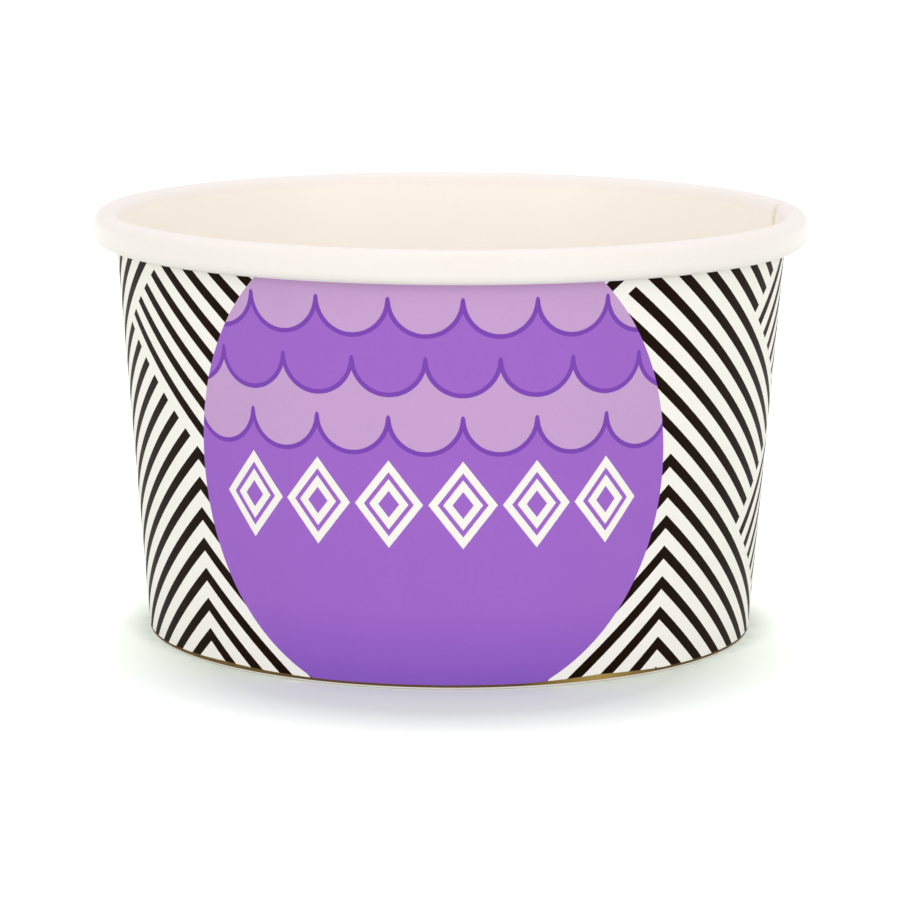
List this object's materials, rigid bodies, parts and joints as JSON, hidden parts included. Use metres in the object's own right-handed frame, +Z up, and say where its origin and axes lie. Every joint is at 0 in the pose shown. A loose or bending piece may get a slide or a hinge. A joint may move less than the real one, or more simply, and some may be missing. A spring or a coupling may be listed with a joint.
{
  "type": "paper dessert cup",
  "caption": "Squat round paper cup for ice cream or dessert, with a tapered printed wall, a rolled rim, a folded foot and a recessed base disc.",
  "frame": {"origin": "centre of the foot, on the surface that the cup stands on", "axes": "+Z up along the cup's axis; -Y is the front, where the printed field faces"},
  "size_m": [0.0874, 0.0874, 0.052],
  "materials": {
    "printed_board": "white poly-coated board, printed outside, satin",
    "coated_board": "plain cream poly-coated board, satin"
  },
  "bodies": {
    "root": {"sidewall": "printed_board", "base_disc": "coated_board"}
  },
  "joints": []
}
